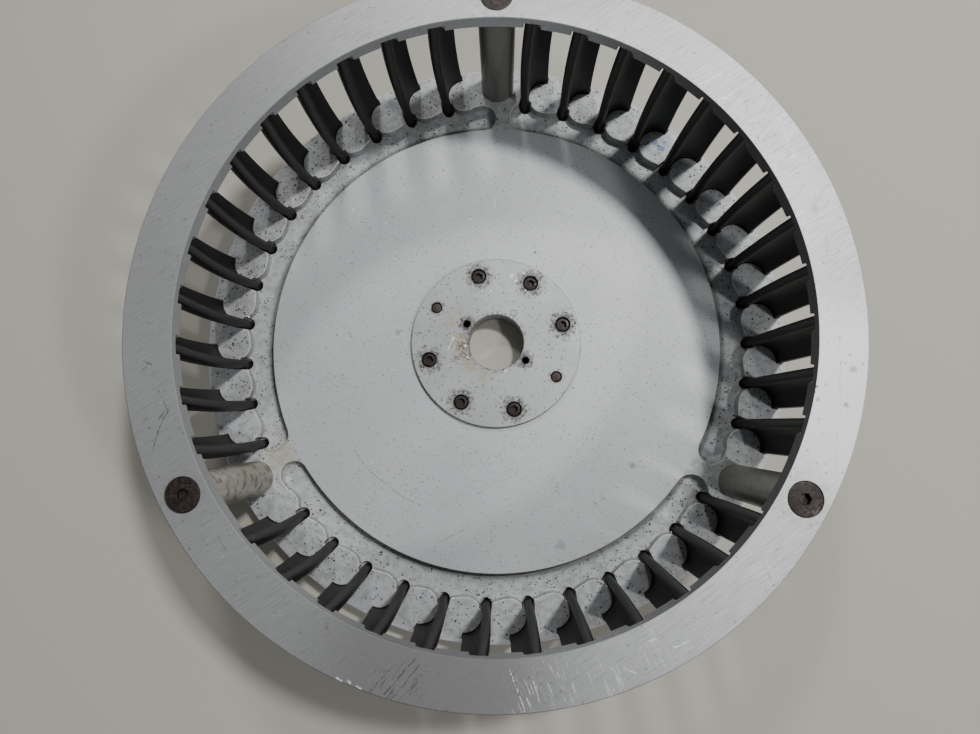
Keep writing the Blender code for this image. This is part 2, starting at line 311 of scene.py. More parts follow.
stain_group, src, out = new_group("stain_patch", [
    ("Vector", VECTOR, None), ("Rag", FLOAT, 0.0), ("Centre", VECTOR, None), ("Radius", FLOAT, 0.01),
    ("Raggedness", FLOAT, 1.0)], [("Mask", FLOAT)])
tree = stain_group
ratio = math_node(tree, "DIVIDE", vec_node(tree, "DISTANCE", src["Vector"], src["Centre"]), src["Radius"])
ratio = math_node(tree, "ADD", ratio, math_node(tree, "MULTIPLY", src["Rag"], src["Raggedness"]))
tree.links.new(fade(tree, ratio, 1.0, 0.35), out["Mask"])
print("scratch and stain groups ready")


# %% Many marks in one mask
def many_lines(tree, where, wear, lines, z):
    """The strongest of several scratches; lines are (from, to, width, strength)."""
    best = None
    for a, b, width, strength in lines:
        line = use(tree, scratch_group, Vector=where, Wear=wear, From=(a[0] * MM, a[1] * MM, z),
                   To=(b[0] * MM, b[1] * MM, z), Width=width * MM)["Mask"]
        line = math_node(tree, "MULTIPLY", line, strength)
        best = line if best is None else math_node(tree, "MAXIMUM", best, line)
    return best


def many_spots(tree, where, rag, spots, z, raggedness=1.2):
    """The strongest of several stains; spots are (x, y, radius, strength)."""
    best = None
    for x, y, radius, strength in spots:
        spot = use(tree, stain_group, Vector=where, Rag=rag, Centre=(x * MM, y * MM, z), Radius=radius * MM,
                   Raggedness=raggedness)["Mask"]
        spot = math_node(tree, "MULTIPLY", spot, strength)
        best = spot if best is None else math_node(tree, "MAXIMUM", best, spot)
    return best


print("mark helpers ready")

# %% [markdown]
# ## The finishes
# Each finish starts from one colour and lays the effects over it one by one:
# a slow cloudiness, the tool grain, specks, then the single marks. Some of the
# same masks also feed the roughness, so a speck is dark and dull, and a bump
# takes a noise or the grain of each finish.

# %% Start a finish
def start_finish(name, metallic, roughness, ior=1.45):
    """A new material with Object coordinates, ready for its nodes."""
    mat = bpy.data.materials.new(name)
    mat.use_nodes = True
    tree = mat.node_tree
    bsdf = tree.nodes["Principled BSDF"]
    bsdf.inputs["Metallic"].default_value = metallic
    bsdf.inputs["Roughness"].default_value = roughness
    bsdf.inputs["IOR"].default_value = ior
    where = add(tree, "ShaderNodeTexCoord").outputs["Object"]
    return mat, tree, bsdf, where


def finish_off(tree, bsdf, colour, roughness=None, height=None, distance=0.0001, strength=0.6):
    """Links the colour, the roughness and the relief to the surface."""
    tree.links.new(colour, bsdf.inputs["Base Color"])
    if roughness is not None:
        tree.links.new(roughness, bsdf.inputs["Roughness"])
    if height is not None:
        bump = add(tree, "ShaderNodeBump", {"Height": height, "Distance": distance, "Strength": strength})
        tree.links.new(bump.outputs["Normal"], bsdf.inputs["Normal"])


def radius_of(tree, where):
    flat = vec_node(tree, "MULTIPLY", where, (1.0, 1.0, 0.0))
    return vec_node(tree, "LENGTH", flat)


def noise(tree, where, scale, detail=2.0):
    return add(tree, "ShaderNodeTexNoise", {"Vector": where, "Scale": scale, "Detail": detail}).outputs


def cloud(tree, where, scale, low, high, detail=2.0):
    return fade(tree, noise(tree, where, scale, detail)["Fac"], low, high)


def blend(tree, colour, mask, strength, tint):
    """Lays a tint over a colour where a mask is, at a given strength."""
    return mix_colour(tree, math_node(tree, "MULTIPLY", mask, strength), colour, tint)


def shaken(tree, where, scale, reach):
    """The place moved a little by noise, and the noise's own value."""
    shake = noise(tree, where, scale, 2.0)
    shift = vec_node(tree, "SUBTRACT", shake["Color"], (0.5, 0.5, 0.5))
    shift = add(tree, "ShaderNodeVectorMath", {0: shift, "Scale": reach}, operation="SCALE")
    return vec_node(tree, "ADD", where, shift.outputs["Vector"]), shake["Fac"]


print("finish helpers ready")

# %% [markdown]
# ### Back disc
# The middle of the disc is smooth and light, the milled band round it is duller
# and carries most of the specks, and some pads are smudged with dark dirt at
# the upper left. The radius from the axis tells the finish which part it is on.
# Painted shade darkens the wall under the middle's edge, and a painted
# highlight lightens the chamfered top edges.

# %% Disc finish
disc_mat, tree, bsdf, where = start_finish("disc_aluminium_finish", 0.18, 0.6)
radius = radius_of(tree, where)
level = add(tree, "ShaderNodeSeparateXYZ", {"Vector": where}).outputs["Z"]
band = math_node(tree, "MULTIPLY", fade(tree, radius, 0.1620, 0.1632), fade(tree, radius, 0.2099, 0.2090))
band = math_node(tree, "MULTIPLY", band, fade(tree, level, 0.003, 0.005))
# Painted highlight: a thin band just under the top face, where the edges are chamfered, is made near white.
rim = math_node(tree, "MULTIPLY", fade(tree, level, DISC_T - 0.45 * MM, DISC_T - 0.35 * MM),
                fade(tree, level, DISC_T - 0.01 * MM, DISC_T - 0.03 * MM))
bent, bend = shaken(tree, where, 900.0, 0.0011)
drift = math_node(tree, "ADD", 0.45, math_node(tree, "MULTIPLY", cloud(tree, where, 38.0, 0.35, 0.65), 0.55))
slow = noise(tree, where, 11.0, 3.0)["Fac"]
rag = math_node(tree, "SUBTRACT", noise(tree, where, 210.0, 4.0)["Fac"], 0.5)
colour = mix_colour(tree, fade(tree, slow, 0.3, 0.7), (0.50, 0.51, 0.52), (0.57, 0.58, 0.59))
grain = use(tree, grain_group, Vector=where, Angle=0.6, Fineness=1500.0, Length=60.0)["Value"]
colour = blend(tree, colour, fade(tree, grain, 0.35, 0.75), 0.3, (0.36, 0.365, 0.37))
mottle = math_node(tree, "MULTIPLY", fade(tree, rag, -0.08, 0.12), band)
colour = blend(tree, colour, fade(tree, bend, 0.38, 0.66), 0.22, (0.33, 0.33, 0.33))
colour = blend(tree, colour, mottle, 0.4, (0.24, 0.24, 0.235))
fine = use(tree, speck_group, Vector=bent, Patchiness=drift, Cells_per_metre=700.0, Spot_size=0.36, Share=0.75)["Mask"]
# Painted shade: under the top face and inside 166.6 mm, the wall under the middle's edge and the fillet at its foot are
# darkened.
crevice_painted_shade = math_node(tree, "MULTIPLY", fade(tree, radius, 0.1700, 0.1666),
                    fade(tree, level, DISC_T - 0.2 * MM, DISC_T - 0.6 * MM))
colour = blend(tree, colour, crevice_painted_shade, 0.62, (0.10, 0.10, 0.098))
SMUDGES = ((-161, 96, 16, 1), (-176, 74, 15, 1), (-185, 54, 15, 1), (-126, 139, 16, 1), (-98, 160, 15, 1),
           (-59, 175, 16, 1), (-28, 186, 14, 0.9), (-190, 28, 15, 0.9), (-145, 119, 15, 1), (-189, -3, 14, 0.7),
           (-181, -36, 14, 0.6), (-120, 118, 10, 0.8), (-96, 140, 10, 0.8), (64, 172, 10, 0.6), (183, 12, 10, 0.6),
           (172, 60, 10, 0.6))
dirt = many_spots(tree, where, rag, SMUDGES, DISC_T, 2.2)
thicker = math_node(tree, "ADD", drift, math_node(tree, "MULTIPLY", dirt, 2.0))
thick = use(tree, speck_group, Vector=bent, Patchiness=thicker, Cells_per_metre=700.0, Spot_size=0.42, Share=0.55)["Mask"]
big = use(tree, speck_group, Vector=bent, Patchiness=thicker, Cells_per_metre=380.0, Spot_size=0.34, Share=0.4)["Mask"]
many = math_node(tree, "MULTIPLY", math_node(tree, "MAXIMUM", thick, big), band)
colour = blend(tree, colour, fine, 0.65, (0.09, 0.09, 0.09))
colour = blend(tree, colour, dirt, 0.42, (0.09, 0.085, 0.075))
colour = blend(tree, colour, many, 0.95, (0.02, 0.02, 0.019))
# Painted highlight on the chamfered top edges.
colour = blend(tree, colour, rim, 0.8, (0.92, 0.92, 0.90))
FACE_SCRATCHES = (
    ((-101.7, -76.4), (-91.7, -90.4), 0.4, 0.9),
    ((-91.7, -90.4), (-79.6, -100.5), 0.4, 0.9),
    ((-79.6, -100.5), (-67.4, -109.0), 0.4, 0.9),
    ((-67.4, -109.0), (-51.4, -117.1), 0.4, 0.9),
    ((-39.6, -141.3), (-26.7, -135.4), 0.35, 0.8),
    ((-26.7, -135.4), (-16.0, -127.4), 0.35, 0.8),
    ((-0.6, -77.9), (-8.2, -88.0), 0.3, 0.6),
    ((-8.2, -88.0), (-12.2, -94.7), 0.3, 0.6),
    ((-26.0, -88.1), (-21.8, -96.1), 0.25, 0.5),
    ((-21.8, -96.1), (-16.2, -109.5), 0.25, 0.5),
    ((-13.8, 94.9), (6.0, 95.0), 0.25, 0.5),
    ((-39.3, 84.4), (-32.3, 84.1), 0.25, 0.5),
    ((69.9, -113.1), (72.6, -114.4), 0.7, 1.0),
)
FACE_BRIGHT_LINES = (
    ((31.4, -120.5), (54.5, -112.4), 0.35, 0.8),
    ((-2.3, 110.4), (-1.7, 101.9), 0.5, 1.0),
)
FACE_CHIPS = (
    (-107.8, 99.5, 0.9, 1.0),
    (-82.7, 90.0, 0.8, 1.0),
    (-20.1, 92.4, 0.9, 1.0),
    (0.0, 91.3, 0.6, 1.0),
    (-28.0, 80.9, 0.6, 1.0),
    (-75.6, 62.3, 0.5, 1.0),
    (122.5, -90.3, 0.7, 1.0),
    (-88.6, -86.8, 0.6, 1.0),
)
FACE_SMUDGES = ((55.6, -32.6, 1.4, 1.0), (28.3, 67.6, 1.6, 1.0), (46.2, -142.8, 4.5, 0.4), (97.6, -87.3, 3.0, 0.6), (-72.4, 7.4, 2.5, 0.6), (-116.6, 5.0, 1.0, 0.9))
YELLOWED = ((-154, -81, 13, 1), (-165, -64, 8, 0.8), (-76, -92, 2, 1), (-16, -169, 7, 0.8))
colour = blend(tree, colour, many_spots(tree, where, rag, YELLOWED, DISC_T, 2.5), 0.5, (0.42, 0.36, 0.22))
BLUED = ((119, 152, 3, 1), (124, 148, 3, 1))
colour = blend(tree, colour, many_spots(tree, where, rag, BLUED, DISC_T, 2.0), 0.75, (0.06, 0.16, 0.42))
swayed, sway = shaken(tree, where, 160.0, 0.0016)
wear = fade(tree, bend, 0.30, 0.60)
colour = blend(tree, colour, many_spots(tree, where, rag, FACE_SMUDGES, DISC_T, 2.0), 0.8, (0.12, 0.12, 0.12))
colour = blend(tree, colour, many_lines(tree, swayed, wear, FACE_SCRATCHES, DISC_T), 0.85, (0.06, 0.06, 0.06))
colour = blend(tree, colour, many_lines(tree, swayed, wear, FACE_BRIGHT_LINES, DISC_T), 0.8, (0.9, 0.9, 0.9))
colour = blend(tree, colour, many_spots(tree, where, rag, FACE_CHIPS, DISC_T, 1.0), 1.0, (0.95, 0.95, 0.95))
rough = math_node(tree, "ADD", 0.5, math_node(tree, "MULTIPLY", band, 0.08))
rough = math_node(tree, "ADD", rough, math_node(tree, "MULTIPLY", many, 0.3))
finish_off(tree, bsdf, colour, rough, rag, 0.00006, 0.35)
print("disc finish nodes:", len(tree.nodes))

# %% [markdown]
# ### Top ring
# The ring's face is ground in one direction, then handled: long scratches at
# the bottom, a few at the left, dashes at the upper right, and two dents at the
# right. Bright marks are fresh metal; dark ones hold dirt. Over that, painted
# shade darkens the face towards the lower left and at the bottom, a painted
# highlight lightens it at the right, and painted shade darkens the bore wall,
# most at the right.

# %% Ring finish
ring_mat, tree, bsdf, where = start_finish("ring_aluminium_finish", 0.4, 0.48)
DARK_LINES = (
    ((-64.0, -198.7), (-54.3, -187.6), 0.45, 1.0), ((-56.6, -200.1), (-39.6, -180.5), 0.55, 1.0),
    ((-52.3, -202.1), (-38.0, -184.5), 0.45, 1.0), ((-48.8, -203.0), (-35.5, -188.0), 0.35, 0.8),
    ((-196.4, -24.8), (-191.3, -26.4), 0.45, 1.0), ((-187.4, -73.9), (-185.4, -63.0), 0.5, 1.0),
    ((-185.4, -63.0), (-180.6, -51.9), 0.5, 1.0), ((-181.0, -52.0), (-186.5, -41.0), 0.4, 0.8),
    ((7.0, -185.6), (14.9, -192.0), 0.3, 0.6), ((14.9, -192.0), (23.8, -199.4), 0.3, 0.6),
    ((193.0, -10.9), (190.5, -55.2), 0.28, 0.6), ((188.6, -60.6), (187.3, -82.2), 0.28, 0.6),
    ((-190.0, 20.0), (-186.5, 38.0), 0.3, 0.6), ((-150.0, -118.0), (-143.0, -129.0), 0.35, 0.7))
BRIGHT_LINES = (
    ((9.6, -187.1), (17.5, -207.9), 0.45, 1.0), ((21.2, -190.5), (26.4, -206.8), 0.4, 1.0),
    ((119.8, 140.0), (132.9, 146.9), 0.65, 1.0), ((130.0, 129.5), (139.5, 134.5), 0.6, 1.0),
    ((163.0, 124.7), (173.2, 94.9), 0.4, 0.8), ((-81.5, -191.6), (-79.7, -193.2), 0.8, 1.0),
    ((-76.0, -193.2), (-74.3, -194.5), 0.8, 1.0), ((-70.8, -195.8), (-69.0, -196.9), 0.8, 1.0),
    ((83.0, -172.0), (88.0, -171.0), 0.8, 0.9), ((96.0, -175.0), (104.0, -172.0), 0.6, 0.9),
    ((70.0, -186.0), (76.0, -188.0), 0.6, 0.9))
HALOS = tuple((196.0 * math.cos(math.radians(p)), 196.0 * math.sin(math.radians(p)), 17, 0.35)
              for p in POST_ANGLES)
DENTS = ((183, 64, 4.0, 0.3), (179, -44, 1.5, 0.6), (178.9, -37, 1.2, 0.9), (177.6, -40, 1.0, 0.9),
         (199.3, -27, 2.6, 0.5), (194.5, -47, 2.4, 0.6))
swayed, sway = shaken(tree, where, 160.0, 0.0016)
bent, bend = shaken(tree, where, 900.0, 0.0011)
wear = fade(tree, bend, 0.30, 0.60)
rag = math_node(tree, "SUBTRACT", noise(tree, where, 330.0, 3.0)["Fac"], 0.5)
colour = mix_colour(tree, cloud(tree, where, 14.0, 0.3, 0.7), (0.53, 0.535, 0.54), (0.60, 0.605, 0.615))
ground = use(tree, grain_group, Vector=where, Angle=-0.55, Fineness=1700.0, Length=70.0)["Value"]
colour = blend(tree, colour, fade(tree, ground, 0.38, 0.7), 0.6, (0.31, 0.315, 0.32))
streak = use(tree, grain_group, Vector=where, Angle=-0.9, Fineness=800.0, Length=160.0)["Value"]
here = add(tree, "ShaderNodeSeparateXYZ", {"Vector": where}).outputs
# Painted shade: the face is made darker towards the lower left.
painted_shade_slope = math_node(tree, "ADD", here["X"], math_node(tree, "MULTIPLY", here["Y"], 0.35))
colour = blend(tree, colour, fade(tree, painted_shade_slope, 0.14, -0.11), 0.62, (0.17, 0.172, 0.17))
# Painted shade: a wide soft patch darkens the face at the bottom.
colour = blend(tree, colour, many_spots(tree, where, rag, ((-35, -196, 95, 1.0),), TOP_Z, 0.15), 0.6, (0.15, 0.15, 0.146))
# Painted highlight: a wide soft patch lightens the face at the right.
colour = blend(tree, colour, many_spots(tree, where, rag, ((200, -45, 75, 1.0),), TOP_Z, 0.2), 0.6, (0.85, 0.855, 0.86))
# Painted shade: the bore wall is darkened, a little at the left and almost black at the right.
inner = fade(tree, radius_of(tree, where), 0.1822, 0.1819)
bore_shade_strength = math_node(tree, "ADD", 0.1, math_node(tree, "MULTIPLY", fade(tree, here["X"], 0.0, 0.15), 0.85))
colour = blend(tree, colour, inner, bore_shade_strength, (0.03, 0.03, 0.028))
corner = many_spots(tree, where, sway, ((150, 120, 110, 1.0),), TOP_Z, 0.8)
colour = blend(tree, colour, math_node(tree, "MULTIPLY", fade(tree, streak, 0.56, 0.66), corner), 0.42,
               (0.14, 0.14, 0.145))
scuffed = math_node(tree, "MULTIPLY", fade(tree, bend, 0.66, 0.76), fade(tree, sway, 0.42, 0.6))
colour = blend(tree, colour, scuffed, 0.4, (0.75, 0.76, 0.77))
strokes = use(tree, grain_group, Vector=where, Angle=1.2, Fineness=1150.0, Length=90.0)["Value"]
STROKE_ZONES = ((30, -199, 26, 1.0), (60, -193, 16, 0.8), (150, -138, 14, 0.7), (88, -176, 14, 0.7))
zone = many_spots(tree, where, rag, STROKE_ZONES, TOP_Z, 1.0)
colour = blend(tree, colour, math_node(tree, "MULTIPLY", fade(tree, strokes, 0.58, 0.66), zone), 0.75, (0.82, 0.83, 0.84))
GOUGE_ZONES = ((-48, -192, 20, 1.0), (-186, -60, 17, 0.9), (-193, -26, 9, 0.8), (18, -193, 15, 0.7))
zone = many_spots(tree, where, rag, GOUGE_ZONES, TOP_Z, 1.0)
gouges = use(tree, grain_group, Vector=where, Angle=-0.95, Fineness=700.0, Length=90.0)["Value"]
colour = blend(tree, colour, math_node(tree, "MULTIPLY", fade(tree, gouges, 0.60, 0.66), zone), 0.6, (0.06, 0.06, 0.06))
fine = use(tree, speck_group, Vector=bent, Patchiness=sway, Cells_per_metre=420.0, Spot_size=0.30, Share=0.5)["Mask"]
colour = blend(tree, colour, fine, 0.6, (0.12, 0.115, 0.11))
colour = blend(tree, colour, many_spots(tree, where, rag, HALOS, TOP_Z, 2.5), 0.6, (0.18, 0.17, 0.15))
colour = blend(tree, colour, many_spots(tree, where, rag, DENTS, TOP_Z, 1.5), 0.9, (0.10, 0.10, 0.10))
colour = blend(tree, colour, many_lines(tree, swayed, wear, DARK_LINES, TOP_Z), 0.85, (0.07, 0.07, 0.072))
colour = blend(tree, colour, many_lines(tree, swayed, wear, BRIGHT_LINES, TOP_Z), 0.8, (0.86, 0.87, 0.88))
rough = math_node(tree, "ADD", 0.42, math_node(tree, "MULTIPLY", ground, 0.16))
finish_off(tree, bsdf, colour, rough, ground, 0.00003, 0.4)
print("ring finish nodes:", len(tree.nodes))

# %% [markdown]
# ### Hub plate
# The plate is turned finer than the disc. Dirt has crept out round each screw
# and along the bore, a beige stain lies at the left, and a small round mark was
# punched beside the bore: a thin ring, which is a distance band from a point.
# The walls inside the screw and tapped holes are darkened as painted shade.

# %% Hub finish
hub_mat, tree, bsdf, where = start_finish("hub_aluminium_finish", 0.3, 0.5)
radius = radius_of(tree, where)
bent, bend = shaken(tree, where, 900.0, 0.0009)
rag = math_node(tree, "SUBTRACT", noise(tree, where, 380.0, 4.0)["Fac"], 0.5)
colour = mix_colour(tree, cloud(tree, where, 30.0, 0.3, 0.7), (0.37, 0.38, 0.38), (0.43, 0.44, 0.44))
rings = noise(tree, add(tree, "ShaderNodeCombineXYZ", {
    "X": math_node(tree, "MULTIPLY", radius, 2600.0)}).outputs[0], 1.0)["Fac"]
colour = blend(tree, colour, fade(tree, rings, 0.4, 0.75), 0.18, (0.36, 0.36, 0.355))
turns = [math.radians(BOLT_TURN + 45.0 * j) for j in range(8)]
seen = vec_node(tree, "ADD", vec_node(tree, "MULTIPLY", where, (1.0, 1.0, 0.0)), (0.0, 0.0, HUB_TOP))
screws = [(50 * math.cos(a), 50 * math.sin(a), 12.5, 1.0) for j, a in enumerate(turns) if j not in (3, 7)]
dowels = [(50 * math.cos(turns[j]), 50 * math.sin(turns[j]), 7.0, 0.7) for j in (3, 7)]
taps = [(25 * math.cos(math.radians(a)), 25 * math.sin(math.radians(a)), 8.0, 1.0) for a in TAP_ANGLES]
halos = many_spots(tree, seen, rag, screws + dowels + taps, HUB_TOP, 1.4)
speck = use(tree, speck_group, Vector=bent, Cells_per_metre=760.0, Spot_size=0.85, Share=1.0)["Mask"]
thin = use(tree, speck_group, Vector=bent, Cells_per_metre=640.0, Spot_size=0.40, Share=0.5)["Mask"]
near_bore = math_node(tree, "MULTIPLY", fade(tree, radius, 0.0245, 0.0208), fade(tree, rag, -0.16, 0.0))
dirty = math_node(tree, "MULTIPLY", speck, math_node(tree, "MAXIMUM", fade(tree, halos, 0.15, 0.6), near_bore))
colour = blend(tree, colour, halos, 0.55, (0.10, 0.092, 0.08))
colour = blend(tree, colour, math_node(tree, "MAXIMUM", dirty, thin), 0.9, (0.03, 0.028, 0.025))
# Painted shade: below the top face, the walls inside the screw and tapped holes are made near black.
holes = [(x, y, 6.4, 1.0) for x, y, r, w in screws] + [(x, y, 3.6, 1.0) for x, y, r, w in taps]
inside = fade(tree, many_spots(tree, seen, rag, holes, HUB_TOP, 0.0), 0.12, 0.3)
low = fade(tree, add(tree, "ShaderNodeSeparateXYZ", {"Vector": where}).outputs["Z"], HUB_TOP - 0.2 * MM, HUB_TOP - 0.5 * MM)
colour = blend(tree, colour, math_node(tree, "MULTIPLY", inside, low), 0.92, (0.02, 0.018, 0.016))
STAINED = ((-33, 14, 6, 0.8), (-27, 1, 9, 1), (-24, -8, 9, 1), (-19, -16, 8, 1), (-9, -25, 5, 0.8), (-27, 22, 5, 0.7))
colour = blend(tree, colour, many_spots(tree, where, rag, STAINED, HUB_TOP, 2.2), 0.6, (0.36, 0.30, 0.19))
CRUSTED = ((-24, -3, 6, 1), (-21, -9, 5, 1), (-22, 5, 5, 0.8), (-23, 12, 6, 0.8), (-28, -11, 4, 0.7))
crust = math_node(tree, "MULTIPLY", many_spots(tree, where, rag, CRUSTED, HUB_TOP, 2.4), fade(tree, bend, 0.42, 0.56))
colour = blend(tree, colour, crust, 0.85, (0.05, 0.04, 0.03))
FLAKES = ((-31, 3, 1.5, 1), (-22, -3, 1.3, 1), (-20.5, -11, 1.2, 1), (11, 49, 1.6, 0.8), (14, 45, 1.2, 0.8),
          (20, 51, 1.5, 0.7), (-4, 38, 0.9, 0.8), (7, -21, 1.6, 0.7))
colour = blend(tree, colour, many_spots(tree, where, rag, FLAKES, HUB_TOP, 2.0), 0.85, (0.85, 0.84, 0.82))
nick = many_lines(tree, where, 1.0, (((-31.2, 2.7), (-34.7, -6.0), 0.5, 1.0),), HUB_TOP)
colour = blend(tree, colour, nick, 0.8, (0.8, 0.8, 0.8))
PUNCH_AT = (12.9 * MM, 21.2 * MM, HUB_TOP)
punch = math_node(tree, "ABSOLUTE", math_node(tree, "SUBTRACT", vec_node(tree, "DISTANCE", where, PUNCH_AT), 0.0021))
colour = blend(tree, colour, fade(tree, punch, 0.0005, 0.0001), 0.8, (0.10, 0.09, 0.08))
finish_off(tree, bsdf, colour, math_node(tree, "ADD", 0.46, math_node(tree, "MULTIPLY", halos, 0.25)), rings,
           0.00003, 0.4)
print("hub finish nodes:", len(tree.nodes))


# %% [markdown]
# ### Posts, blades and screws
# The posts are turned and dusty, one of them dirtier than the others. The
# blades are a dull black moulding that shines softly and holds pale dust. The
# screws are blackened steel gone brown. Each is a small finish of its own.

# %% Post finish
def post_finish(name, light, shade, dirt):
    mat, tree, bsdf, where = start_finish(name, 0.3, 0.42)
    bent, bend = shaken(tree, where, 900.0, 0.0011)
    grain = use(tree, grain_group, Vector=where, Fineness=900.0, Length=900.0)["Value"]
    upright = vec_node(tree, "MULTIPLY", where, (1.0, 1.0, 0.06))
    stripe = cloud(tree, upright, 120.0, 0.35, 0.65)
    colour = mix_colour(tree, stripe, shade, light)
    colour = blend(tree, colour, fade(tree, grain, 0.4, 0.8), 0.2, shade)
    grime = math_node(tree, "MULTIPLY", cloud(tree, where, 170.0, 0.46, 0.66, 5.0), dirt)
    colour = blend(tree, colour, grime, 0.8, (0.09, 0.075, 0.05))
    speck = use(tree, speck_group, Vector=bent, Cells_per_metre=380.0, Spot_size=0.26, Share=0.45)["Mask"]
    colour = blend(tree, colour, speck, 0.6, (0.08, 0.07, 0.06))
    finish_off(tree, bsdf, colour, math_node(tree, "ADD", 0.38, math_node(tree, "MULTIPLY", grime, 0.4)),
               grain, 0.00003, 0.4)
    return mat


post_mats = [post_finish("post_grey_finish", (0.23, 0.23, 0.20), (0.17, 0.17, 0.145), 0.12),
             post_finish("post_beige_finish", (0.40, 0.385, 0.33), (0.30, 0.285, 0.235), 0.7),
             post_finish("post_dull_finish", (0.24, 0.235, 0.205), (0.17, 0.165, 0.14), 0.25)]
print("post finishes:", len(post_mats))

# %% Blade finish
blade_mat, tree, bsdf, where = start_finish("blade_black_finish", 0.0, 0.5, 1.38)
bent, bend = shaken(tree, where, 900.0, 0.0011)
upright = vec_node(tree, "MULTIPLY", where, (1.0, 1.0, 0.12))
pull = noise(tree, upright, 480.0, 2.0)["Fac"]
colour = mix_colour(tree, fade(tree, pull, 0.35, 0.7), (0.006, 0.006, 0.0057), (0.014, 0.014, 0.0133))
colour = blend(tree, colour, fade(tree, bend, 0.60, 0.74), 0.35, (0.10, 0.10, 0.09))
speck = use(tree, speck_group, Vector=bent, Cells_per_metre=260.0, Spot_size=0.14, Share=0.2)["Mask"]
colour = blend(tree, colour, speck, 0.6, (0.22, 0.21, 0.19))
rough = math_node(tree, "ADD", 0.44, math_node(tree, "MULTIPLY", pull, 0.16))
finish_off(tree, bsdf, colour, rough, pull, 0.00006, 0.5)
print("blade finish nodes:", len(tree.nodes))


# %% Screw finishes
def steel_finish(name, base, rust, share, metallic=0.55):
    mat, tree, bsdf, where = start_finish(name, metallic, 0.45)
    colour = mix_colour(tree, cloud(tree, where, 260.0, 0.35, 0.65), base, tuple(v * 0.6 for v in base))
    bloom = cloud(tree, where, 520.0, 0.45, 0.62, 4.0)
    colour = blend(tree, colour, bloom, share, rust)
    chip = use(tree, speck_group, Vector=where, Cells_per_metre=700.0, Spot_size=0.26, Share=0.3)["Mask"]
    colour = blend(tree, colour, chip, 0.5, (0.22, 0.17, 0.13))
    finish_off(tree, bsdf, colour, math_node(tree, "ADD", 0.38, math_node(tree, "MULTIPLY", bloom, 0.35)),
               bloom, 0.00005, 0.5)
    return mat


ring_screw_mat = steel_finish("ring_screw_finish", (0.030, 0.024, 0.022), (0.052, 0.031, 0.025), 0.6, 0.4)
cap_screw_mat = steel_finish("cap_screw_finish", (0.022, 0.018, 0.016), (0.045, 0.026, 0.020), 0.6, 0.3)
dowel_mat = steel_finish("dowel_finish", (0.055, 0.042, 0.036), (0.07, 0.045, 0.034), 0.6, 0.3)
burr_mat, tree, bsdf, where = start_finish("fresh_burr_finish", 0.6, 0.25)
colour = mix_colour(tree, cloud(tree, where, 900.0, 0.3, 0.7), (0.85, 0.85, 0.84), (0.6, 0.6, 0.59))
finish_off(tree, bsdf, colour)
print("steel finishes ready")


# %% [markdown]
# ## Mesh helpers
# Three ways of making a solid cover the whole wheel. A flat outline is filled as
# a 2D curve and given a thickness. A profile is spun round an upright axis.
# What a tool cut away is taken out with a Boolean, then the edges are broken
# with a Bevel, because a real edge is never perfectly sharp and catches light.

# %% Outlines
def polar(r, deg):
    a = math.radians(deg)
    return Vector((r * math.cos(a), r * math.sin(a)))


def place(points, deg):
    """Blade frame (x along the rim, y outward) to the wheel at an angle."""
    a = math.radians(deg)
    c, s = math.cos(a), math.sin(a)
    return [Vector((y * c - x * s, y * s + x * c)) for x, y in points]


def arc(circle, start, end, count, grow=0.0):
    cx, cy, r = circle
    r += grow
    steps = [math.radians(start + (end - start) * i / count) for i in range(count + 1)]
    return [(cx + r * math.cos(a), cy + r * math.sin(a)) for a in steps]


# %% Solids
def welded(mesh, name):
    bm = bmesh.new()
    bm.from_mesh(mesh)
    bmesh.ops.remove_doubles(bm, verts=bm.verts, dist=1e-6)
    bmesh.ops.recalc_face_normals(bm, faces=bm.faces)
    bm.to_mesh(mesh)
    bm.free()
    mesh.name = name
    obj = bpy.data.objects.new(name, mesh)
    bpy.context.scene.collection.objects.link(obj)
    return obj


def plates(name, outlines, z0, z1):
    """Flat outlines that don't touch, filled and given a thickness."""
    curve = bpy.data.curves.new(name, "CURVE")
    curve.dimensions = "2D"
    curve.fill_mode = "BOTH"
    curve.extrude = (z1 - z0) / 2
    for outline in outlines:
        spline = curve.splines.new("POLY")
        spline.points.add(len(outline) - 1)
        for point, (x, y) in zip(spline.points, outline):
            point.co = (x, y, 0.0, 1.0)
        spline.use_cyclic_u = True
    holder = bpy.data.objects.new(name, curve)
    holder.location.z = (z0 + z1) / 2
    bpy.context.scene.collection.objects.link(holder)
    bpy.context.view_layer.update()
    mesh = bpy.data.meshes.new_from_object(holder.evaluated_get(bpy.context.evaluated_depsgraph_get()))
    mesh.transform(holder.matrix_world)
    bpy.data.objects.remove(holder, do_unlink=True)
    return welded(mesh, name)


def widened(outline, by):
    """The outline with each point moved outward by a distance."""
    count = len(outline)
    turn = sum(outline[i - 1][0] * outline[i][1] - outline[i][0] * outline[i - 1][1] for i in range(count))
    side = 1.0 if turn > 0.0 else -1.0
    out = []
    for i, here in enumerate(outline):
        here = Vector(here)
        a = (here - Vector(outline[i - 1])).normalized()
        b = (Vector(outline[(i + 1) % count]) - here).normalized()
        off = Vector((a.y + b.y, -a.x - b.x))
        off /= max(off.length_squared / 2.0, 0.6)
        out.append(here + off * by * side)
    return out


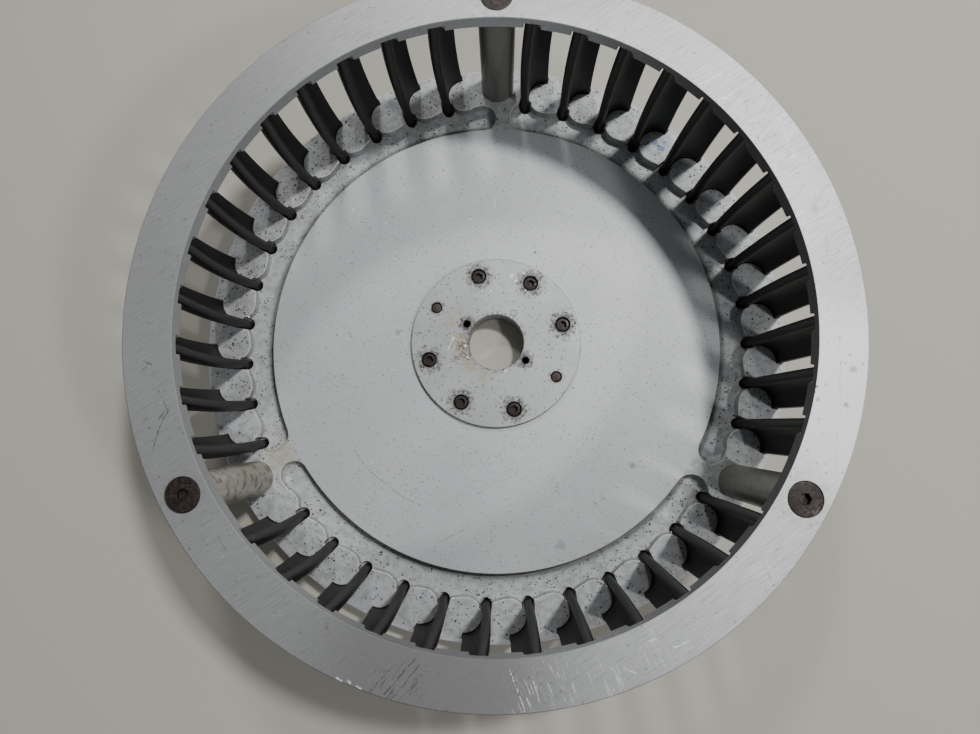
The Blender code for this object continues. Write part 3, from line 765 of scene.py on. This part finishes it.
def flared(name, outlines, z0, face, chamfer):
    """Cutters with straight walls that flare at a face, to break its edge."""
    bm = bmesh.new()
    for outline in outlines:
        rows = []
        for z, by in ((z0, 0.0), (face - chamfer, 0.0), (face + 2 * chamfer, 3 * chamfer)):
            rows.append([bm.verts.new((p[0], p[1], z)) for p in (widened(outline, by) if by else outline)])
        for a, b in zip(rows, rows[1:]):
            for j in range(len(a)):
                k = (j + 1) % len(a)
                bm.faces.new((a[j], a[k], b[k], b[j]))
        bm.faces.new(rows[0])
        bm.faces.new(rows[-1])
    mesh = bpy.data.meshes.new(name)
    bm.to_mesh(mesh)
    bm.free()
    return welded(mesh, name)


def turned(name, profile, steps, at=(0.0, 0.0)):
    """A profile of (radius, height) points spun round the vertical at a place."""
    bm = bmesh.new()
    verts = [bm.verts.new((r, 0.0, z)) for r, z in profile]
    edges = [bm.edges.new(pair) for pair in zip(verts, verts[1:])]
    if profile[0][0] > 0.0:
        edges.append(bm.edges.new((verts[-1], verts[0])))
    bmesh.ops.spin(bm, geom=verts + edges, cent=(0, 0, 0), axis=(0, 0, 1),
                   angle=math.tau, steps=steps, use_merge=True)
    bmesh.ops.translate(bm, verts=bm.verts, vec=(at[0], at[1], 0.0))
    mesh = bpy.data.meshes.new(name)
    bm.to_mesh(mesh)
    bm.free()
    return welded(mesh, name)


# %% Cutting and finishing
def bake(obj):
    """Turns an object's modifiers into a plain mesh."""
    bpy.context.view_layer.update()
    mesh = bpy.data.meshes.new_from_object(obj.evaluated_get(bpy.context.evaluated_depsgraph_get()))
    obj.modifiers.clear()
    old = obj.data
    obj.data = mesh
    mesh.name = obj.name
    bpy.data.meshes.remove(old)
    return obj


def cut(target, *tools):
    """Cuts the tools out of the target for good, and removes the tools."""
    for tool in tools:
        mod = target.modifiers.new("cut", "BOOLEAN")
        mod.solver = "EXACT"
        mod.operation = "DIFFERENCE"
        mod.object = tool
    bake(target)
    for tool in tools:
        bpy.data.objects.remove(tool, do_unlink=True)
    return target


def smoothed(obj, angle):
    """Shades an object smoothly, except over edges sharper than an angle."""
    obj.data.polygons.foreach_set("use_smooth", [True] * len(obj.data.polygons))
    obj.data.set_sharp_from_angle(angle=math.radians(angle))
    return obj


def soften(obj, width, segments=2, angle=32.0, smooth=15.0):
    """Joins flat faces, breaks the sharp edges and smooths what is round."""
    bm = bmesh.new()
    bm.from_mesh(obj.data)
    bmesh.ops.remove_doubles(bm, verts=bm.verts, dist=2e-6)
    bmesh.ops.dissolve_limit(bm, angle_limit=math.radians(0.4), verts=bm.verts, edges=bm.edges)
    bm.to_mesh(obj.data)
    bm.free()
    if width:
        mod = obj.modifiers.new("edge_break", "BEVEL")
        mod.width = width
        mod.segments = segments
        mod.limit_method = "ANGLE"
        mod.angle_limit = math.radians(angle)
        mod.use_clamp_overlap = False
        bake(obj)
        bm = bmesh.new()
        bm.from_mesh(obj.data)
        bmesh.ops.triangulate(bm, faces=bm.faces, ngon_method="BEAUTY")
        bmesh.ops.dissolve_degenerate(bm, edges=bm.edges, dist=1e-6)
        bm.to_mesh(obj.data)
        bm.free()
    return smoothed(obj, smooth)


def done(obj, mat, slot, *nodes):
    """Gives a piece its finish and body, and hides the CAD nodes it stands for. The slot argument is not used."""
    obj.data.materials.clear()
    obj.data.materials.append(mat)
    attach(obj, "root")
    if nodes:
        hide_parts(*nodes)
    print(obj.name, len(obj.data.polygons), "faces")
    return obj


print("mesh helpers ready")

# %% [markdown]
# ## Back disc
# The disc is turned, then one pocket is milled between each two posts: an arc
# groove whose outer wall is scalloped into lobes, with a slot for each blade.
# A deeper seat with a round keyhole at its inner end takes each blade's foot.
# All of it is drawn as outlines from the same few circles and cut with Booleans.


# %% Pocket outlines
def slot_wall(lobe_start):
    lobe = arc(HOLLOW, lobe_start, 93.0, 36, -0.1 * MM)
    back = arc(BACK, 91.0, 0.0, 18, GAP)
    return lobe + back + [(11.95 * MM, 185.5 * MM), (12.3 * MM, 181.4 * MM), (18.0 * MM, 179.2 * MM)]


def cap_arc(radius, deg, start, end):
    """Round end of a groove; start and end are turned from straight outward."""
    c = polar(GROOVE_IN_R + radius, deg)
    return [c + polar(radius, deg + start + (end - start) * i / 24) for i in range(25)]


def groove_side(bay):
    """The wall on the middle's side: last cap, inner arc, first cap."""
    inner = [polar(GROOVE_IN_R, bay + CAP_LAST + (CAP_FIRST - CAP_LAST) * i / 90) for i in range(1, 90)]
    return (cap_arc(CAP_LAST_R, bay + CAP_LAST, 34.0, 180.0) + inner
            + cap_arc(CAP_FIRST_R, bay + CAP_FIRST, 180.0, 372.0))


def pocket(bay):
    out = groove_side(bay)
    for k in range(1, PER_BAY + 1):
        wall = slot_wall(-120.0 if k == 1 else -92.0)
        if k == PER_BAY:
            del wall[-2:]
        out += place(wall, bay + k * PITCH)
    return out


def foot_seat(deg):
    start = math.degrees(math.acos((TIP_X - HOLLOW[0]) / (HOLLOW[2] + 0.1 * MM)))
    hollow = arc(HOLLOW, start, -20.0, 18, 0.1 * MM)
    key = arc(KEY, 148.0, 382.0, 22)
    return place(hollow + key + arc(BACK, -4.0, 90.0, 16, 0.2 * MM), deg)


print("pocket outline points:", len(pocket(BAY_ANGLES[0])))

# %% Cut the disc
disc = turned("back_disc", [
    (BORE_R, HUB_LOW - GAP), (HUB_R + GAP, HUB_LOW - GAP), (HUB_R + GAP, DISC_T),
    (WHEEL_R - 0.8 * MM, DISC_T), (WHEEL_R, DISC_T - 0.8 * MM),
    (WHEEL_R, 0.8 * MM), (WHEEL_R - 0.8 * MM, 0.0), (BORE_R, 0.0)], 240)
cut(disc, flared("pockets", [pocket(b) for b in BAY_ANGLES], FLOOR_Z, DISC_T, 0.35 * MM),
    flared("foot_seats", [foot_seat(a) for a in BLADE_ANGLES], SEAT_Z, DISC_T, 0.35 * MM))
smoothed(disc, 15.0)
done(disc, disc_mat, "disc_aluminium", "base_disc")

# %% [markdown]
# ## Groove fillet
# The cutter had a rounded corner, so the groove's floor runs up into the wall
# of the middle in a hollow curve. It could be part of the disc's Boolean, but a
# hollow strip that follows the same wall is simpler: at each point of the path,
# a quarter-circle profile stands square to the wall.

# %% Fillet strips
COVE_R = 5.0 * MM


def cove(name, path, radius):
    """A hollow quarter-round strip along a wall, on the left of the path."""
    bm = bmesh.new()
    rows = []
    for i, here in enumerate(path):
        before, after = path[max(i - 1, 0)], path[min(i + 1, len(path) - 1)]
        along = (after - before).normalized()
        off = Vector((-along.y, along.x))
        ease = min(1.0, 0.25 + min(i, len(path) - 1 - i) / 7)
        r = radius * ease
        rim = [(r * (1 - math.cos(t)), r * (1 - math.sin(t))) for t in
               [math.radians(90.0 * j / 8) for j in range(9)]]
        rim.append((-0.08 * MM, -0.08 * MM))
        rows.append([bm.verts.new((here.x + off.x * d, here.y + off.y * d, FLOOR_Z + h + 0.01 * MM))
                     for d, h in rim])
    for a, b in zip(rows, rows[1:]):
        for j in range(len(a)):
            k = (j + 1) % len(a)
            bm.faces.new((a[j], a[k], b[k], b[j]))
    bm.faces.new(rows[0])
    bm.faces.new(rows[-1])
    mesh = bpy.data.meshes.new(name)
    bm.to_mesh(mesh)
    bm.free()
    return welded(mesh, name)


for i, bay in enumerate(BAY_ANGLES, start=1):
    strip = cove(f"groove_fillet_{i}", groove_side(bay), COVE_R)
    soften(strip, 0.0, smooth=40.0)
    done(strip, disc_mat, "disc_aluminium")

# %% [markdown]
# ## Top ring
# The ring is turned flat, countersunk over each post and notched from below for
# every blade. The notches open at the bore, where they show as small windows.


# %% Turn and notch the ring
def notch(deg):
    lobe = arc(HOLLOW, -27.0, 93.0, 24, -0.1 * MM)
    back = arc(BACK, 91.0, 0.0, 18, GAP)
    mouth = [(11.75, 182.5), (11.75, 176.0), (0.9, 176.0), (0.9, 182.5)]
    return place(lobe + back + [(x * MM, y * MM) for x, y in mouth], deg)


ring = turned("flat_ring", [
    (WHEEL_R - 0.8 * MM, TOP_Z), (WHEEL_R, TOP_Z - 0.8 * MM), (WHEEL_R, RING_Z + 0.8 * MM),
    (WHEEL_R - 0.8 * MM, RING_Z), (RING_BORE_R, RING_Z), (RING_BORE_R, TOP_Z - 0.4 * MM),
    (RING_BORE_R + 0.4 * MM, TOP_Z)], 240)
sinks = []
for i, post_deg in enumerate(POST_ANGLES):
    sinks.append(turned(f"sink_{i}", [
        (0.0, TOP_Z + 2 * MM), (HEAD_R + GAP, TOP_Z + 2 * MM), (HEAD_R + GAP, TOP_Z - 1.4 * MM),
        (SHANK_R + GAP, TOP_Z - 6.0 * MM), (SHANK_R + GAP, RING_Z - 4 * MM),
        (0.0, RING_Z - 4 * MM)], 64, polar(POST_AT_R, post_deg)))
cut(ring, *sinks, plates("notches", [notch(a) for a in BLADE_ANGLES], RING_Z - 3 * MM, NOTCH_Z))
smoothed(ring, 15.0)
done(ring, ring_mat, "ring_aluminium", "top_ring")

# %% [markdown]
# ## Blades
# A blade is one section drawn up: a round nose towards the middle, then a body
# that hooks back. The real blades are soft enough to bow, those at the upper
# left most, because the wheel has been loaded from one side. Geometry Nodes fits a
# rule like that: the tree takes the straight blade and moves each point along
# the rim by a parabola of its height, with the bow and the direction as inputs.

# %% Blade bow tree
bow_tree = bpy.data.node_groups.new("blade_bow", "GeometryNodeTree")
bow_sockets = {}
for label, kind, start in (("Geometry", "NodeSocketGeometry", None), ("Bow", FLOAT, 0.001),
                           ("Rim direction", VECTOR, None), ("Foot height", FLOAT, DISC_T),
                           ("Free height", FLOAT, RING_Z - DISC_T), ("Finish", "NodeSocketMaterial", None)):
    sock = bow_tree.interface.new_socket(label, in_out="INPUT", socket_type=kind)
    bow_sockets[label] = sock.identifier
    if start is not None:
        sock.default_value = start
bow_tree.interface.new_socket("Geometry", in_out="OUTPUT", socket_type="NodeSocketGeometry")
src = bow_tree.nodes.new("NodeGroupInput").outputs
height = add(bow_tree, "ShaderNodeSeparateXYZ", {0: add(bow_tree, "GeometryNodeInputPosition").outputs[0]})
up = math_node(bow_tree, "DIVIDE", math_node(bow_tree, "SUBTRACT", height.outputs["Z"], src["Foot height"]),
               src["Free height"], clamp=True)
arch = math_node(bow_tree, "MULTIPLY", math_node(bow_tree, "MULTIPLY", up, 4.0),
                 math_node(bow_tree, "SUBTRACT", 1.0, up))
push = add(bow_tree, "ShaderNodeVectorMath", {0: src["Rim direction"],
           "Scale": math_node(bow_tree, "MULTIPLY", arch, src["Bow"])}, operation="SCALE")
bent = add(bow_tree, "GeometryNodeSetPosition", {"Geometry": src["Geometry"], "Offset": push.outputs["Vector"]})
solid = add(bow_tree, "GeometryNodeRealizeInstances", {0: bent.outputs[0]})
dressed = add(bow_tree, "GeometryNodeSetMaterial", {0: solid.outputs[0], "Material": src["Finish"]})
bow_tree.links.new(dressed.outputs[0], bow_tree.nodes.new("NodeGroupOutput").inputs[0])
print("bow tree nodes:", len(bow_tree.nodes))


# %% Make the blades
def blade_section():
    start = math.degrees(math.acos((TIP_X - HOLLOW[0]) / (HOLLOW[2] + GAP)))
    return (arc(HOLLOW, start, -22.0, 14, GAP) + arc(NOSE, 185.0, 355.0, 10)
            + arc(BACK, -8.0, 89.0, 12))


def drawn_up(name, outline, heights):
    """A section repeated at several heights and joined into one solid."""
    bm = bmesh.new()
    rows = [[bm.verts.new((p.x, p.y, z)) for p in outline] for z in heights]
    for a, b in zip(rows, rows[1:]):
        for j in range(len(a)):
            k = (j + 1) % len(a)
            bm.faces.new((a[j], a[k], b[k], b[j]))
    bm.faces.new(rows[0])
    bm.faces.new(rows[-1])
    mesh = bpy.data.meshes.new(name)
    bm.to_mesh(mesh)
    bm.free()
    return welded(mesh, name)


BOW_MEAN, BOW_SWING, BOW_PEAK, BOW_SPREAD = 1.2 * MM, 0.95 * MM, 140.0, 0.3 * MM
bow_rng = random.Random(7)
LEVELS = [SEAT_Z + GAP] + [DISC_T + (RING_Z - DISC_T) * i / 12 for i in range(13)] + [NOTCH_Z - GAP]
for i, deg in enumerate(BLADE_ANGLES, start=1):
    blade = drawn_up(f"black_blade_{i:02d}", place(blade_section(), deg), LEVELS)
    bow = blade.modifiers.new("bow", "NODES")
    bow.node_group = bow_tree
    bow[bow_sockets["Bow"]] = (BOW_MEAN + BOW_SWING * math.cos(math.radians(deg - BOW_PEAK))
                               + bow_rng.uniform(-BOW_SPREAD, BOW_SPREAD))
    rim = polar(1.0, deg + 90.0)
    bow[bow_sockets["Rim direction"]] = (rim.x, rim.y, 0.0)
    bow[bow_sockets["Finish"]] = blade_mat
    bake(blade)
    smoothed(blade, 50.0)
    done(blade, blade_mat, "blade_black", f"blade_{i:02d}")

# %% [markdown]
# ## Posts and ring screws
# A post is a plain turned bar with a small chamfer at each end. The screw over
# it is a countersunk one with a hexagon socket: its head lies just under the
# ring's face, with a dark ring of clearance round it.

# %% Posts
for i, post_deg in enumerate(POST_ANGLES, start=1):
    top, low = RING_Z - GAP, DISC_T + GAP
    post = turned(f"round_post_{i}", [
        (0.0, top), (POST_R - 0.6 * MM, top), (POST_R, top - 0.6 * MM),
        (POST_R, low + 0.6 * MM), (POST_R - 0.6 * MM, low), (0.0, low)], 72, polar(POST_AT_R, post_deg))
    bore = turned("bore", [(0.0, top + 1 * MM), (SHANK_R + GAP, top + 1 * MM),
                           (SHANK_R + GAP, 104.0 * MM), (0.0, 104.0 * MM)], 40, polar(POST_AT_R, post_deg))
    cut(post, bore)
    soften(post, 0.15 * MM)
    done(post, post_mats[i - 1], "post_aluminium", f"post_{i}")


# %% Ring screws
def hexagon(flats, centre, turn):
    return [centre + polar(flats / math.sqrt(3.0), turn + 60.0 * j) for j in range(6)]


for i, post_deg in enumerate(POST_ANGLES, start=1):
    at, face = polar(POST_AT_R, post_deg), TOP_Z - 0.4 * MM
    screw = turned(f"sunk_screw_{i}", [
        (0.0, face), (HEAD_R - 0.35 * MM, face), (HEAD_R, face - 0.35 * MM), (HEAD_R, face - 0.9 * MM),
        (SHANK_R, face - 5.5 * MM), (SHANK_R, 105.8 * MM), (SHANK_R - 0.8 * MM, 105.0 * MM),
        (0.0, 105.0 * MM)], 64, at)
    cut(screw, plates("socket", [hexagon(6.0 * MM, at, 15.0 + 35.0 * i)], face - 3.4 * MM, face + 2 * MM))
    soften(screw, 0.15 * MM)
    done(screw, ring_screw_mat, "screw_steel", f"ring_screw_{i}")

# %% [markdown]
# ## Hub plate
# The plate stands a little proud of the disc. It has the centre bore, six
# counterbored screw holes and two dowel holes on one circle of eight places,
# and two small tapped holes nearer the bore.

# %% Plate
hub = turned("hub_disc", [
    (BORE_R + 0.5 * MM, HUB_TOP), (HUB_R - 0.5 * MM, HUB_TOP), (HUB_R, HUB_TOP - 0.5 * MM),
    (HUB_R, HUB_LOW), (BORE_R, HUB_LOW), (BORE_R, HUB_TOP - 0.5 * MM)], 144)
holes = []
for place_no in range(8):
    at = polar(BOLT_R, BOLT_TURN + 45.0 * place_no)
    if place_no in (3, 7):
        profile = [(0.0, 26 * MM), (6.3 * MM, 26 * MM), (4.0 * MM, 23.7 * MM), (4.0 * MM, 15 * MM), (0.0, 15 * MM)]
    else:
        profile = [(0.0, 26 * MM), (7.8 * MM, 26 * MM), (5.5 * MM, 23.7 * MM), (5.5 * MM, 17.5 * MM),
                   (3.3 * MM, 17.5 * MM), (3.3 * MM, 10 * MM), (0.0, 10 * MM)]
    holes.append(turned(f"hole_{place_no}", profile, 48, at))
for deg in TAP_ANGLES:
    holes.append(turned("tap", [(0.0, 26 * MM), (5.0 * MM, 26 * MM), (2.5 * MM, 23.5 * MM), (2.5 * MM, 14 * MM),
                                (0.0, 14 * MM)], 32, polar(TAP_R, deg)))
cut(hub, *holes)
smoothed(hub, 15.0)
done(hub, hub_mat, "hub_aluminium", "hub_plate")

# %% [markdown]
# ## Hub screws
# Six equal cap screws stand on a circle of eight places, which is a job for
# Geometry Nodes: one screw is modelled at the origin, and the tree sets it on
# the points of a circle, leaves two places free for the dowels and turns each
# screw by its own amount, because a fitter never leaves the sockets lined up.


# %% Circle tree
ring_tree = bpy.data.node_groups.new("screws_on_a_circle", "GeometryNodeTree")
ring_sockets = {}
for label, kind, start in (("Geometry", "NodeSocketGeometry", None), ("Circle radius", FLOAT, BOLT_R),
                           ("First angle", FLOAT, 0.0), ("Places", "NodeSocketInt", 8),
                           ("Skipped remainder", "NodeSocketInt", 3), ("Keep skipped", "NodeSocketBool", False),
                           ("Finish", "NodeSocketMaterial", None)):
    sock = ring_tree.interface.new_socket(label, in_out="INPUT", socket_type=kind)
    ring_sockets[label] = sock.identifier
    if start is not None:
        sock.default_value = start
ring_tree.interface.new_socket("Geometry", in_out="OUTPUT", socket_type="NodeSocketGeometry")
src = ring_tree.nodes.new("NodeGroupInput").outputs
circle = add(ring_tree, "GeometryNodeMeshCircle", {"Vertices": src["Places"], "Radius": src["Circle radius"]})
turn = add(ring_tree, "ShaderNodeCombineXYZ", {"Z": src["First angle"]})
set_round = add(ring_tree, "GeometryNodeTransform", {"Geometry": circle.outputs["Mesh"],
                                                     "Rotation": turn.outputs[0]})
index = add(ring_tree, "GeometryNodeInputIndex")
rest = math_node(ring_tree, "MODULO", index.outputs[0], 4.0)
free = add(ring_tree, "FunctionNodeCompare", {"A": rest, "B": src["Skipped remainder"]},
           data_type="FLOAT", operation="EQUAL")
drop = add(ring_tree, "FunctionNodeBooleanMath", {0: free.outputs[0], 1: src["Keep skipped"]}, operation="XOR")
kept = add(ring_tree, "GeometryNodeDeleteGeometry", {"Geometry": set_round.outputs[0],
                                                     "Selection": drop.outputs[0]}, domain="POINT")
spin = add(ring_tree, "FunctionNodeRandomValue", {"Min": (0.0, 0.0, 0.0), "Max": (0.0, 0.0, math.tau), "Seed": 12},
           data_type="FLOAT_VECTOR")
stood = add(ring_tree, "GeometryNodeInstanceOnPoints", {"Points": kept.outputs[0], "Instance": src["Geometry"],
                                                        "Rotation": spin.outputs[0]})
solid = add(ring_tree, "GeometryNodeRealizeInstances", {0: stood.outputs[0]})
dressed = add(ring_tree, "GeometryNodeSetMaterial", {0: solid.outputs[0], "Material": src["Finish"]})
ring_tree.links.new(dressed.outputs[0], ring_tree.nodes.new("NodeGroupOutput").inputs[0])
print("circle tree nodes:", len(ring_tree.nodes))


# %% Set the screws and dowels
def set_on_circle(obj, mat, keep_skipped):
    mod = obj.modifiers.new("on_a_circle", "NODES")
    mod.node_group = ring_tree
    mod[ring_sockets["First angle"]] = math.radians(BOLT_TURN)
    mod[ring_sockets["Keep skipped"]] = keep_skipped
    mod[ring_sockets["Finish"]] = mat
    bake(obj)
    return done(obj, mat, "screw_steel")


head = 22.3 * MM
cap = turned("hub_cap_screws", [
    (0.0, head), (4.4 * MM, head), (5.0 * MM, head - 0.6 * MM), (5.0 * MM, 17.6 * MM), (3.0 * MM, 17.6 * MM),
    (3.0 * MM, 12.2 * MM), (0.0, 12.2 * MM)], 40)
cut(cap, plates("socket", [hexagon(5.0 * MM, Vector((0.0, 0.0)), 0.0)], head - 3.0 * MM, head + 1 * MM))
soften(cap, 0.15 * MM)
set_on_circle(cap, cap_screw_mat, False)
dowel = turned("hub_dowels", [
    (0.0, 22.9 * MM), (3.0 * MM, 22.9 * MM), (3.5 * MM, 22.4 * MM), (3.5 * MM, 15.2 * MM), (0.0, 15.2 * MM)], 40)
soften(dowel, 0.1 * MM)
set_on_circle(dowel, dowel_mat, True)

# %% [markdown]
# ## Burrs
# The cutter left bright burrs where a slot runs out at a pad's corner. They are
# tiny, and there are dozens, so one rough chip is scattered over a list of
# corner points by Geometry Nodes, each with its own turn and size.

# %% Burr tree
burr_tree = bpy.data.node_groups.new("corner_burrs", "GeometryNodeTree")
burr_sockets = {}
for label, kind, start in (("Geometry", "NodeSocketGeometry", None), ("Chip size", FLOAT, 0.5 * MM),
                           ("Seed", "NodeSocketInt", 5), ("Finish", "NodeSocketMaterial", None)):
    sock = burr_tree.interface.new_socket(label, in_out="INPUT", socket_type=kind)
    burr_sockets[label] = sock.identifier
    if start is not None:
        sock.default_value = start
burr_tree.interface.new_socket("Geometry", in_out="OUTPUT", socket_type="NodeSocketGeometry")
src = burr_tree.nodes.new("NodeGroupInput").outputs
chip = add(burr_tree, "GeometryNodeMeshIcoSphere", {"Radius": src["Chip size"], "Subdivisions": 1})
flat = add(burr_tree, "GeometryNodeTransform", {"Geometry": chip.outputs["Mesh"], "Scale": (1.0, 0.55, 0.35)})
way = add(burr_tree, "FunctionNodeRandomValue", {"Min": (-0.3, -0.3, 0.0), "Max": (0.3, 0.3, math.tau),
                                                 "Seed": src["Seed"]}, data_type="FLOAT_VECTOR")
big = add(burr_tree, "FunctionNodeRandomValue", {2: 0.5, 3: 1.3, "Seed": src["Seed"]}, data_type="FLOAT")
strewn = add(burr_tree, "GeometryNodeInstanceOnPoints", {"Points": src["Geometry"], "Instance": flat.outputs[0],
                                                         "Rotation": way.outputs[0], "Scale": big.outputs[1]})
solid = add(burr_tree, "GeometryNodeRealizeInstances", {0: strewn.outputs[0]})
dressed = add(burr_tree, "GeometryNodeSetMaterial", {0: solid.outputs[0], "Material": src["Finish"]})
burr_tree.links.new(dressed.outputs[0], burr_tree.nodes.new("NodeGroupOutput").inputs[0])
print("burr tree nodes:", len(burr_tree.nodes))


# %% Strew the burrs
rng = random.Random(31)
corners = []
for deg in BLADE_ANGLES:
    shade = 0.9 if 120.0 < deg % 360.0 < 300.0 else 0.45
    for x, y in ((12.3, 181.5), (12.6, 181.2), (13.4, 180.9), (3.2, 182.6)):
        if rng.random() < shade:
            x += rng.uniform(-0.25, 0.25)
            spot = place([(x * MM, y * MM)], deg)[0]
            corners.append((spot.x, spot.y, DISC_T - rng.uniform(0.05, 0.5) * MM))
burr_mesh = bpy.data.meshes.new("slot_burrs")
burr_mesh.from_pydata(corners, [], [])
burrs = bpy.data.objects.new("slot_burrs", burr_mesh)
bpy.context.scene.collection.objects.link(burrs)
strew = burrs.modifiers.new("strew", "NODES")
strew.node_group = burr_tree
strew[burr_sockets["Finish"]] = burr_mat
bake(burrs)
done(burrs, burr_mat, "disc_aluminium")
